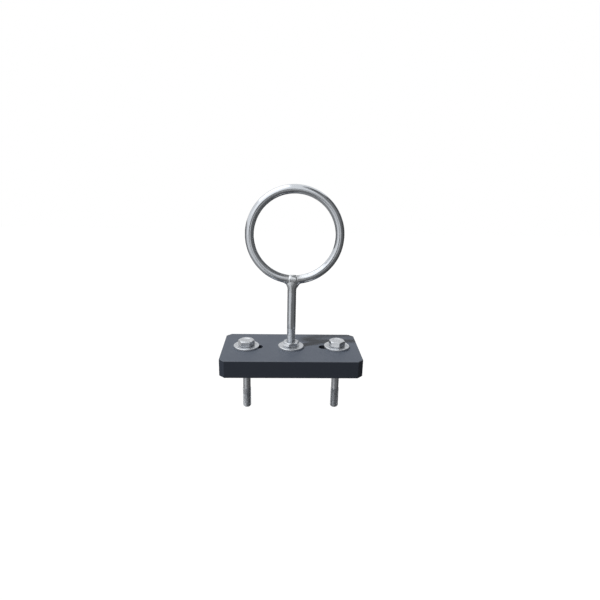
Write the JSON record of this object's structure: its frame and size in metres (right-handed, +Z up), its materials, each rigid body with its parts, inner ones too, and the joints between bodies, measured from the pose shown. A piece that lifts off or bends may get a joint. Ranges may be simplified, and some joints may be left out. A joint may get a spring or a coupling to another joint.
{
  "type": "battery lifting beam",
  "caption": "Lifting beam for battery cells: a welded ring on a threaded shank carries a plastic plate, and bolts in its slots screw into the cell's terminals.",
  "frame": {"origin": "on the shank's axis, level with the ring's inside crown, where a hook bears when the beam hangs level", "axes": "+Z up along the shank, +X along the plate and its slots, +Y across the plate, away from the viewer"},
  "size_m": [0.16, 0.085, 0.2645],
  "materials": {
    "plate_plastic": "dark grey rigid plastic sheet, matt, sawn and planed edges",
    "ring_steel": "bright drawn round bar, satin",
    "weld_steel": "rippled weld metal, brushed clean",
    "fastener_steel": "bright plain steel, slightly worn",
    "insert_plastic": "pale plastic locking ring"
  },
  "bodies": {
    "beam": {"lifting_ring": "ring_steel", "ring_shank": "ring_steel", "ring_weld": "weld_steel", "beam_plate": "plate_plastic", "shank_upper_washer": "fastener_steel", "shank_jam_nut": "fastener_steel", "shank_lower_washer": "fastener_steel", "shank_lock_nut": "fastener_steel", "lock_nut_insert": "insert_plastic"},
    "left_washer": {"left_bolt_washer": "fastener_steel"},
    "left_bolt": {"left_terminal_bolt": "fastener_steel"},
    "right_washer": {"right_bolt_washer": "fastener_steel"},
    "right_bolt": {"right_terminal_bolt": "fastener_steel"}
  },
  "joints": [
    {"name": "left_bolt_slide", "type": "slide", "parent": "beam", "child": "left_washer", "axis": [1, 0, 0], "range_m": [-0.0056, 0.014]},
    {"name": "left_bolt_turn", "type": "hinge", "parent": "left_washer", "child": "left_bolt", "pos_m": [-0.0524, 0, -0.1745], "axis": [0, 0, 1], "continuous": true},
    {"name": "right_bolt_slide", "type": "slide", "parent": "beam", "child": "right_washer", "axis": [1, 0, 0], "range_m": [-0.016, 0.0036]},
    {"name": "right_bolt_turn", "type": "hinge", "parent": "right_washer", "child": "right_bolt", "pos_m": [0.0544, 0, -0.1745], "axis": [0, 0, 1], "continuous": true}
  ]
}
